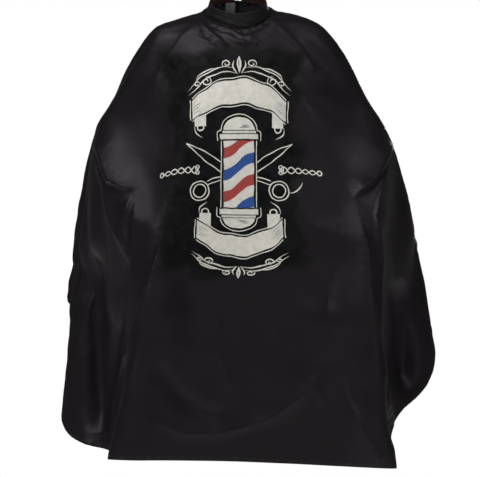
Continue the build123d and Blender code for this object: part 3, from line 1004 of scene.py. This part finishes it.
PITCH, STITCH_LENGTH = 0.0034, 0.0027
HEM_ROW = 0.0078                 # from the cloth's edge to the row of hem stitches
HEM_THREAD, BAND_THREAD = 0.00023, 0.00024
THREAD_LIFT = 0.00012
LONGEST_STITCH = 0.006           # a longer one would jump across a corner, and is left out

hem_stitches = Stitches()
fine_line, fine_inwards = inset_lines(0.0005)
spots = np.concatenate([[0], np.cumsum(np.hypot(*np.diff(fine_line, axis=0).T))])
for number in range(int(spots[-1] / PITCH)):
    ends = []
    for distance in (number * PITCH, number * PITCH + STITCH_LENGTH):
        index = min(int(np.searchsorted(spots, distance)), len(spots) - 1)
        ends.append(fine_line[index] + fine_inwards[index] * HEM_ROW)
    start, end = (cloth_at.at(*point, THREAD_LIFT) for point in ends)
    up = cloth_at.at(*ends[0], 0.001) - cloth_at.at(*ends[0], 0.0)
    if np.linalg.norm(end - start) < LONGEST_STITCH:
        hem_stitches.bead(start, end, up, HEM_THREAD)
hem_thread = hem_stitches.build("hem_stitches")

# ------------------------------------------------------------------ neck band, closure tab
SLANT, SLANT_OUT = (-0.2873, 0.9578), (0.9578, 0.2873)
SLANT_LENGTH = 0.04176
BAND_FIRST, BAND_LAST, BAND_FACE = 96, 444, 0.0029
TAB_ROOT, TAB_HINGE, TAB_END = 66, 80, 124
TAB_BACK, TAB_FACE, TAB_MARGIN = 0.00315, 0.00605, 0.006


def band_point(angle, along, depth):
    """Point by its angle round the neck in degrees (90 at the nape), up the slanted band, and out of it."""
    radial = NECK_RADIUS + along * SLANT[0] + depth * SLANT_OUT[0]
    height = along * SLANT[1] + depth * SLANT_OUT[1]
    turn = math.radians(angle)
    level = Vector((1, 0, 0)) * (radial * math.cos(turn)) + neck_back * (radial * math.sin(turn))
    return level + neck_up * height


def rounded_section(low, high, back, face, count=9):
    """Closed outline in (along, depth): flat faces with folded, rounded edges."""
    middle, half = (back + face) / 2, (face - back) / 2
    turns = (math.pi / 4, math.pi / 2, 3 * math.pi / 4)
    outline = [(low + (high - low) * i / count, back) for i in range(count + 1)]
    outline += [(high + half * math.sin(t), middle - half * math.cos(t)) for t in turns]
    outline += [(high - (high - low) * i / count, face) for i in range(count + 1)]
    outline += [(low - half * math.sin(t), middle + half * math.cos(t)) for t in turns]
    return outline


def swept(name, angles, section_at, pucker):
    """Closed strip round the neck from a cross-section for each angle."""
    vertices, faces = [], []
    for a in angles:
        section = section_at(a)
        for along, depth in section:
            vertices.append(band_point(a, along, depth + pucker(a, along, depth)))
    width = len(section)
    for i in range(len(angles) - 1):
        for j in range(width):
            k = (j + 1) % width
            faces.append((i * width + j, i * width + k, (i + 1) * width + k, (i + 1) * width + j))
    faces.append(tuple(reversed(range(width))))
    faces.append(tuple((len(angles) - 1) * width + j for j in range(width)))
    return new_mesh(name, vertices, faces)


def band_pucker(a, along, depth):
    """Small dents between the two rows of topstitching, on the outer face only."""
    if depth < BAND_FACE * 0.6:
        return 0.0
    between = math.sin(math.pi * min(max(along / SLANT_LENGTH, 0), 1))
    turn = math.radians(a)
    return -0.00028 * (0.5 + 0.25 * math.sin(61 * turn) + 0.25 * math.sin(97 * turn + 1.3)) * (1.15 - between)


BAND_ROWS, BAND_STATIONS = 26, 523
BAND_SECTION = 2 * BAND_ROWS + 8      # points round the band's cross-section
band_outline = rounded_section(0.0004, SLANT_LENGTH - BAND_FACE / 2, 0.0, BAND_FACE, BAND_ROWS)
neck_band = swept("neck_band", np.linspace(BAND_FIRST, BAND_LAST, BAND_STATIONS),
                  lambda a: band_outline, band_pucker)


def wrinkled(piece):
    """The collar's pulls run on over the front of the band, fainter towards its top edge."""
    points = coordinates(piece.data)
    up = np.array(neck_up)
    height = points @ up
    outward = points - height[:, None] * up
    radial = np.linalg.norm(outward, axis=1)
    outward /= radial[:, None]
    face = (radial - NECK_RADIUS - height * SLANT[0] / SLANT[1]) / BAND_FACE
    shift = np.zeros(len(points))
    for line, rise, left, right in COLLAR_PULLS:
        signed, fade = beside(points[:, [0, 2]], line)
        reach = np.where(signed > 0, left, right)
        shift += 0.75 * rise * np.exp(-np.abs(signed) / reach) * fade
    shift += ripple(points)
    shift *= np.clip((face - 0.5) / 0.3, 0, 1) * np.clip((0.04 - points[:, 1]) / 0.04, 0, 1)
    shift *= np.clip((SLANT_LENGTH - height) / 0.016, 0, 1)
    put(points + outward * shift[:, None], piece)


wrinkled(neck_band)


def tab_section(a):
    """The tab narrows to rounded corners at its free end."""
    radius = 0.007
    left = max(0.0, math.radians(TAB_END - a) * 0.075)
    trim = 0.0 if left > radius else radius - math.sqrt(max(0.0, radius ** 2 - (radius - left) ** 2))
    half = (TAB_FACE - TAB_BACK) / 2
    low, high = TAB_MARGIN + half + trim, SLANT_LENGTH - TAB_MARGIN - half - trim
    return rounded_section(low, high, TAB_BACK, TAB_FACE, 8)


tab_angles = np.concatenate([np.linspace(TAB_ROOT, TAB_END - 6, 80),
                             np.linspace(TAB_END - 5.8, TAB_END - 0.02, 26)])
closure_tab = swept("closure_tab", tab_angles, tab_section, lambda a, along, depth: 0.0)
STITCH_RADIUS = 0.077            # about how far the stitch rows are from the neck's middle


def slant_stitches(name, first, last, rows, face, low=None, high=None):
    """Rows of stitches round the neck, and an end row up the slant where low and high are given."""
    made = Stitches()
    span = math.degrees(PITCH / STITCH_RADIUS)
    for along in rows:
        for number in range(int((last - first) / span)):
            start = first + number * span
            up = band_point(start, along, 0.01) - band_point(start, along, 0)
            made.bead(band_point(start, along, face), band_point(start + span * 0.8, along, face),
                      up, BAND_THREAD)
    if low is not None:
        up = band_point(last, low, 0.01) - band_point(last, low, 0)
        for number in range(int((high - low) / PITCH)):
            made.bead(band_point(last, low + number * PITCH, face),
                      band_point(last, low + (number + 0.8) * PITCH, face), up, BAND_THREAD)
    return made.build(name)


EDGE_TO_ROW = 0.0030
band_rows = (EDGE_TO_ROW, SLANT_LENGTH - EDGE_TO_ROW)
tab_rows = (TAB_MARGIN + EDGE_TO_ROW, SLANT_LENGTH - TAB_MARGIN - EDGE_TO_ROW)
band_stitches = slant_stitches("band_stitches", BAND_FIRST + 2, BAND_LAST - 1, band_rows,
                               BAND_FACE - THREAD_LIFT)
wrinkled(band_stitches)
anchor_stitches = slant_stitches("tab_anchor_rows", TAB_ROOT + 2, TAB_HINGE - 2, tab_rows, TAB_FACE)
tab_stitches = slant_stitches("tab_stitches", TAB_HINGE + 2, TAB_END - 3, tab_rows, TAB_FACE, *tab_rows)

# ------------------------------------------------------------------ care label
LABEL_X, LABEL_Y, LABEL_TOP, LABEL_WIDE, LABEL_DROP = -0.020, 0.0616, 0.035, 0.024, 0.042
LABEL_ROWS, LABEL_COLUMNS, FOLD_ROWS = 21, 16, 6
FOLD_RADIUS = 0.0007
path = []                        # (y, z) down the front leaf, round the fold and up the back leaf
for i in range(LABEL_ROWS + 1):
    t = i / LABEL_ROWS
    path.append((LABEL_Y + 0.0004 - 0.0022 * math.sin(math.pi * t), LABEL_TOP - (LABEL_DROP - 0.0012) * t))
fold_y, fold_z = path[LABEL_ROWS]
for i in range(1, FOLD_ROWS):
    t = math.pi * i / FOLD_ROWS
    path.append((fold_y - FOLD_RADIUS * (1 - math.cos(t)), fold_z - FOLD_RADIUS * math.sin(t)))
path += [(y - 2 * FOLD_RADIUS, z) for y, z in path[LABEL_ROWS::-1]]
label_vertices = [
    (LABEL_X + LABEL_WIDE * (k / LABEL_COLUMNS - 0.5), y + 0.0006 * math.sin(k * 0.55 + z * 90), z)
    for y, z in path for k in range(LABEL_COLUMNS + 1)]
label = new_mesh("woven_label", label_vertices, grid_faces(len(path), LABEL_COLUMNS + 1))


# ------------------------------------------------------------------ materials
def toned(colour, factor):
    """A colour made darker or lighter."""
    return tuple(min(1, c * factor) for c in colour)


class Nodes:
    """Short ways to add shader nodes to a node tree."""

    def __init__(self, tree):
        self.tree = tree

    def add(self, kind, inputs=None, **settings):
        """A new node. inputs are plain values, or other nodes' outputs to link."""
        made = self.tree.nodes.new("ShaderNode" + kind)
        for key, value in settings.items():
            setattr(made, key, value)
        for key, value in (inputs or {}).items():
            if isinstance(value, bpy.types.NodeSocket):
                self.tree.links.new(value, made.inputs[key])
            else:
                made.inputs[key].default_value = value
        return made

    def place(self):
        return self.add("TexCoord").outputs["Object"]

    def noise(self, scale, detail=4.0, vector=None, roughness=0.55):
        return self.add("TexNoise", {"Vector": vector or self.place(), "Scale": scale, "Detail": detail,
                                     "Roughness": roughness}).outputs["Fac"]

    def wave(self, scale, vector, direction='X', distortion=0.0):
        inputs = {"Vector": vector, "Scale": scale, "Distortion": distortion, "Detail": 1.0,
                  "Detail Scale": 2.0}
        return self.add("TexWave", inputs, wave_type='BANDS', bands_direction=direction,
                        wave_profile='SIN').outputs["Fac"]

    def remap(self, value, low, high, to_low, to_high, smooth=False):
        inputs = {"Value": value, "From Min": low, "From Max": high, "To Min": to_low, "To Max": to_high}
        kind = 'SMOOTHSTEP' if smooth else 'LINEAR'
        return self.add("MapRange", inputs, interpolation_type=kind).outputs["Result"]

    def maths(self, operation, a, b=0.0):
        return self.add("Math", {0: a, 1: b}, operation=operation).outputs[0]

    def mix(self, factor, a, b):
        """Blend of two colours, each a triple or another node's output."""
        a, b = (c if isinstance(c, bpy.types.NodeSocket) else (*c, 1) for c in (a, b))
        return self.add("Mix", {0: factor, 6: a, 7: b}, data_type='RGBA').outputs[2]

    def bump(self, height, strength, distance, before=None):
        inputs = {"Height": height, "Strength": strength, "Distance": distance}
        if before is not None:
            inputs["Normal"] = before
        return self.add("Bump", inputs).outputs["Normal"]


class Surface(Nodes):
    """A Principled material."""

    def __init__(self, name, colour, roughness, **sockets):
        self.material = bpy.data.materials.new(name)
        self.material.use_nodes = True
        super().__init__(self.material.node_tree)
        self.shader = self.tree.nodes["Principled BSDF"]
        self.shader.inputs["Base Color"].default_value = (*colour, 1)
        self.shader.inputs["Roughness"].default_value = roughness
        for socket, value in sockets.items():
            self.shader.inputs[socket.replace("_", " ")].default_value = value
        self.material.diffuse_color = (*colour, 1)

    def link(self, output, socket):
        self.tree.links.new(output, self.shader.inputs[socket])


def cape_surface(name, printed):
    """Black satin-faced polyester; its printed face has a faint transfer film round the emblem."""
    cloth = Surface(name, (.0088, .0076, .0086), 0.40, Specular_IOR_Level=0.16, Specular_Tint=(1, .88, 1, 1),
                    Sheen_Weight=0.03, Sheen_Roughness=0.35, Sheen_Tint=(.62, .50, .60, 1))
    on_cut = cloth.add("Attribute", attribute_name="cut", attribute_type='GEOMETRY').outputs["Vector"]
    parts = cloth.add("SeparateXYZ", {"Vector": on_cut}).outputs
    # transfer film: a rectangle round the emblem with soft, ragged edges
    ragged = cloth.remap(cloth.noise(13, 5, on_cut), 0.3, 0.7, -0.030, 0.030)

    def within(place, offset, full, gone):
        """1 near the film's middle line on one axis of the cut, 0 past its edge."""
        away = cloth.maths('ADD', cloth.maths('ABSOLUTE', cloth.maths('ADD', place, offset)), ragged)
        return cloth.remap(away, full, gone, 1, 0, True)

    aside, above = within(parts[0], 0.020, 0.160, 0.200), within(parts[1], 0.430, 0.260, 0.310)
    film = cloth.maths('MULTIPLY', cloth.maths('MULTIPLY', aside, above), 1.0 if printed else 0.0)
    blotch = cloth.remap(cloth.noise(26, 5, on_cut), 0.35, 0.66, 0.50, 1.0)
    film = cloth.maths('MULTIPLY', film, blotch)
    cloudy = cloth.noise(9, 3, on_cut)
    base = cloth.mix(cloudy, (.0072, .0062, .0071), (.0104, .0088, .0102))
    cloth.link(cloth.mix(film, base, (.0012, .0019, .0013)), "Base Color")
    cloth.link(cloth.mix(film, (1, .88, 1), (.34, .40, .35)), "Specular Tint")
    fibre = cloth.noise(900, 2, on_cut)
    rough = cloth.maths('ADD', cloth.remap(cloudy, 0.3, 0.7, 0.36, 0.47), cloth.maths('MULTIPLY', film, 0.30))
    cloth.link(cloth.maths('ADD', rough, cloth.remap(fibre, 0.3, 0.7, -0.03, 0.03)), "Roughness")
    # satin weave: fine warp lines, and a slanted float
    warp = cloth.wave(420, on_cut, 'X')
    slanted_float = cloth.wave(300, on_cut, 'DIAGONAL')
    weave = cloth.maths('ADD', cloth.maths('MULTIPLY', warp, 0.6),
                        cloth.maths('MULTIPLY', slanted_float, 0.4))
    first = cloth.bump(weave, 0.22, 0.00010)
    rumple = cloth.bump(cloth.noise(34, 4, on_cut), 0.16, 0.0030, first)
    # puckers between the hem's stitches and the edge
    near_edge = cloth.remap(parts[2], 0.004, 0.014, 1, 0, True)
    pucker = cloth.maths('MULTIPLY', cloth.noise(190, 2, on_cut), near_edge)
    cloth.link(cloth.bump(pucker, 0.25, 0.0010, rumple), "Normal")
    return cloth.material


def plain_cloth(name, colour, roughness, scale, **sockets):
    """Woven cloth seen close: crossed threads, cloudy tone."""
    cloth = Surface(name, colour, roughness, **sockets)
    place = cloth.place()
    tone = cloth.noise(60, 4, place)
    cloth.link(cloth.mix(tone, toned(colour, 0.82), toned(colour, 1.2)), "Base Color")
    threads = cloth.maths('ADD', cloth.wave(scale, place, 'X'), cloth.wave(scale, place, 'Z'))
    cloth.link(cloth.remap(tone, 0.3, 0.7, roughness - 0.05, roughness + 0.05), "Roughness")
    cloth.link(cloth.bump(threads, 0.25, 0.00012, cloth.bump(tone, 0.15, 0.001)), "Normal")
    return cloth.material


def print_ink(name, colour):
    """Heat-transfer ink: a thin rubbery skin with fine cracks and the weave showing through."""
    skin = Surface(name, colour, 0.46, Specular_IOR_Level=0.35)
    on_cloth = skin.place()
    worn = skin.noise(70, 6, on_cloth, 0.65)
    patchy = skin.remap(worn, 0.35, 0.75, 0, 1)
    skin.link(skin.mix(patchy, toned(colour, 1.06), toned(colour, 0.80)), "Base Color")
    skin.link(skin.remap(worn, 0.3, 0.7, 0.40, 0.54), "Roughness")
    cracks = skin.add("TexVoronoi", {"Vector": on_cloth, "Scale": 420.0}, feature='DISTANCE_TO_EDGE')
    lines = skin.remap(cracks.outputs["Distance"], 0.0, 0.08, 0, 1)
    skin.link(skin.bump(lines, 0.18, 0.00012, skin.bump(skin.noise(900, 2, on_cloth), 0.2, 0.0001)), "Normal")
    return skin.material


def thread_surface(name, colour):
    """Twisted polyester sewing thread; its colour is painted darker in the twist's grooves and lighter on its
    ridges, as shade and highlight.
    """
    thread = Surface(name, colour, 0.48, Specular_IOR_Level=0.5, Sheen_Weight=0.15)
    place = thread.place()
    twist_and_painted_shade = thread.wave(520, place, 'DIAGONAL', 0.6)
    # painted shade and highlight: the colour follows the twist, darker in its grooves and lighter on its
    # ridges
    thread.link(thread.mix(twist_and_painted_shade, toned(colour, 0.75), toned(colour, 1.35)), "Base Color")
    thread.link(thread.remap(twist_and_painted_shade, 0, 1, 0.42, 0.56), "Roughness")
    thread.link(thread.bump(twist_and_painted_shade, 0.5, 0.00012), "Normal")
    return thread.material


def metal(name, colour, roughness):
    """Stamped, nickel-plated brass with fine drawing marks."""
    plate = Surface(name, colour, roughness, Metallic=1.0)
    place = plate.place()
    marks = plate.noise(700, 3, place)
    tone = plate.noise(120, 3, place)
    plate.link(plate.mix(tone, toned(colour, 0.88), colour), "Base Color")
    plate.link(plate.remap(marks, 0.3, 0.7, roughness - 0.06, roughness + 0.10), "Roughness")
    plate.link(plate.bump(marks, 0.12, 0.00004), "Normal")
    return plate.material


def lacquer(name, colour):
    """Baked black lacquer on a stamped cap."""
    coat = Surface(name, colour, 0.30, Coat_Weight=0.6, Coat_Roughness=0.12)
    place = coat.place()
    peel = coat.noise(900, 2, place)
    coat.link(coat.mix(coat.noise(150, 3, place), toned(colour, 0.8), toned(colour, 1.4)), "Base Color")
    coat.link(coat.remap(peel, 0.3, 0.7, 0.24, 0.38), "Roughness")
    coat.link(coat.bump(peel, 0.10, 0.00005), "Normal")
    return coat.material


def woven_tape(name, colour):
    """Satin-woven label tape, ribbed across."""
    tape = Surface(name, colour, 0.42, Sheen_Weight=0.2)
    place = tape.place()
    ribs = tape.wave(560, place, 'Z')
    warp = tape.wave(700, place, 'X')
    tone = tape.noise(80, 4, place)
    tape.link(tape.mix(tone, toned(colour, 0.86), colour), "Base Color")
    tape.link(tape.remap(ribs, 0, 1, 0.38, 0.50), "Roughness")
    tape.link(tape.bump(tape.maths('ADD', ribs, tape.maths('MULTIPLY', warp, 0.5)), 0.4, 0.00012), "Normal")
    return tape.material


satin = cape_surface("cape_satin", True)
satin_back = cape_surface("cape_satin_back", False)
band_cloth = plain_cloth("band_cloth", (.0086, .0076, .0084), 0.46, 330, Specular_IOR_Level=0.16)
lining_cloth = plain_cloth("lining_cloth", (.050, .014, .010), 0.52, 330, Specular_IOR_Level=0.2)
hem_cloth = plain_cloth("hem_cloth", (.0084, .0074, .0082), 0.45, 400, Specular_IOR_Level=0.16)
inks = [print_ink("ink_pale", (.62, .60, .54)), print_ink("ink_red", (.33, .044, .036)),
        print_ink("ink_blue", (.016, .070, .26)), print_ink("ink_black", (.012, .012, .013))]
thread = thread_surface("black_thread", (.014, .012, .014))
nickel = metal("nickel", (.62, .60, .56), 0.24)
spring_steel = metal("spring_steel", (.50, .50, .50), 0.32)
cap_lacquer = lacquer("cap_lacquer", (.010, .010, .011))
tape = woven_tape("label_tape", (.030, .027, .030))


def paint(piece, *materials):
    """Gives a piece these materials and no others."""
    piece.data.materials.clear()
    for material in materials:
        piece.data.materials.append(material)


paint(cape, satin, satin_back)
for piece, surface_material in zip(print_pieces, inks):
    paint(piece, surface_material)
paint(hem_fold, hem_cloth)
for piece in (hem_thread, band_stitches, anchor_stitches, tab_stitches):
    paint(piece, thread)
paint(closure_tab, band_cloth)
paint(label, tape)
paint(neck_band, band_cloth, lining_cloth)
for polygon in neck_band.data.polygons:
    if polygon.index % BAND_SECTION <= BAND_ROWS + 1:
        polygon.material_index = 1

node_metals = {"snap_studs": nickel, "snap_stud_backs": nickel, "snap_sockets": nickel,
               "socket_springs": spring_steel, "snap_caps": cap_lacquer}
for name in nodes:
    if name in node_metals:
        for slot in nodes[name].material_slots:
            slot.material = node_metals[name]

# the cloth's own thickness, on its inner side
thickness = cape.modifiers.new("thickness", "SOLIDIFY")
thickness.thickness = CLOTH_THICK
thickness.offset = -1
thickness.material_offset = 1
applied(cape)
cape.data.polygons.foreach_set("use_smooth", [True] * len(cape.data.polygons))

# ------------------------------------------------------------------ what each piece stands for
for piece in (cape, *print_pieces, hem_fold, hem_thread, neck_band, band_stitches, anchor_stitches):
    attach(piece, "cape")
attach(tab_stitches, "snap_tab")
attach(label, "label")
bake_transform(closure_tab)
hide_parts("cape_cloth")
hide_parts("band_lining", "band_interlining", "band_outer")
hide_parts("band_topstitching")
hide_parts("tab_sewn_end", "tab_lining", "tab_interlining", "tab_outer")
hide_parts("tab_anchor_stitches")
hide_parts("tab_topstitching")
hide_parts("care_label")

# ------------------------------------------------------------------ floor, light and camera
FLOOR_RADIUS, FLOOR_LEVEL, FLOOR_SIDES = 4.1, -1.5, 96
floor_turns = [math.tau * k / FLOOR_SIDES for k in range(FLOOR_SIDES)]
floor = new_mesh("floor", [(FLOOR_RADIUS * math.cos(t), FLOOR_RADIUS * math.sin(t), FLOOR_LEVEL)
                           for t in floor_turns], [tuple(range(FLOOR_SIDES))])
ground = Surface("floor_pale", (.80, .80, .79), 0.6)
ground.link(ground.mix(ground.noise(3, 3), (.84, .84, .83), (.88, .88, .87)), "Base Color")
ground.shader.inputs["Emission Color"].default_value = (1, 1, 1, 1)
ground.shader.inputs["Emission Strength"].default_value = 0.45
paint(floor, ground.material)

world = bpy.data.worlds.new("studio")
scene.world = world
world.use_nodes = True
background = world.node_tree.nodes["Background"]
# A dim surround that is brightest at the horizon, and a white background where the camera sees it.
sky = Nodes(world.node_tree)
heading = sky.add("SeparateXYZ", {0: sky.add("TexCoord").outputs["Generated"]})
dim = sky.remap(sky.maths('ABSOLUTE', heading.outputs["Z"]), 0.08, 0.45, 0.14, 0.04)
brightest = sky.maths('MAXIMUM', dim, sky.add("LightPath").outputs["Is Camera Ray"])
sky.tree.links.new(brightest, background.inputs["Strength"])
background.inputs["Color"].default_value = (1, 1, 1, 1)
scene.view_settings.view_transform = 'Standard'


def soft_light(name, place, target, size, power):
    """White area light at a place, turned to its target."""
    lamp = bpy.data.lights.new(name, 'AREA')
    lamp.shape = 'RECTANGLE'
    lamp.size, lamp.size_y = size
    lamp.energy = power
    made = bpy.data.objects.new(name, lamp)
    scene.collection.objects.link(made)
    made.location = place
    made.rotation_mode = 'QUATERNION'
    made.rotation_quaternion = (Vector(target) - Vector(place)).to_track_quat('-Z', 'Y')


soft_light("key", (-1.3, -3.0, 1.7), (0, 0, -0.35), (1.0, 0.8), 46)
soft_light("side", (-1.3, -0.9, 1.6), (-0.28, -0.05, -0.22), (0.5, 0.5), 11)
soft_light("side_left", (1.5, -1.1, 1.5), (0.30, -0.05, -0.28), (0.5, 0.5), 9)
soft_light("fill", (1.5, -3.2, 0.4), (0, 0, -0.6), (0.5, 1.2), 7)
soft_light("top", (-0.5, -1.3, 2.2), (0, 0, -0.3), (1.8, 0.7), 28)
soft_light("back", (0.6, 3.2, -0.2), (0, 0, -0.5), (1.6, 1.2), 50)

DISTANCE, SENSOR = 9.0, 36
PICTURE_WIDTH = 480              # of the rendered picture, in pixels
PIXEL = 0.00254                  # what one of them spans at the neck's plane
lens = bpy.data.cameras.new("camera")
camera = bpy.data.objects.new("camera", lens)
scene.collection.objects.link(camera)
camera.location = (0.005, -DISTANCE, -0.5677)
camera.rotation_euler = (math.radians(90), 0, 0)
lens.sensor_width = SENSOR
lens.lens = SENSOR * DISTANCE / (PICTURE_WIDTH * PIXEL)
lens.clip_end = 60
scene.camera = camera
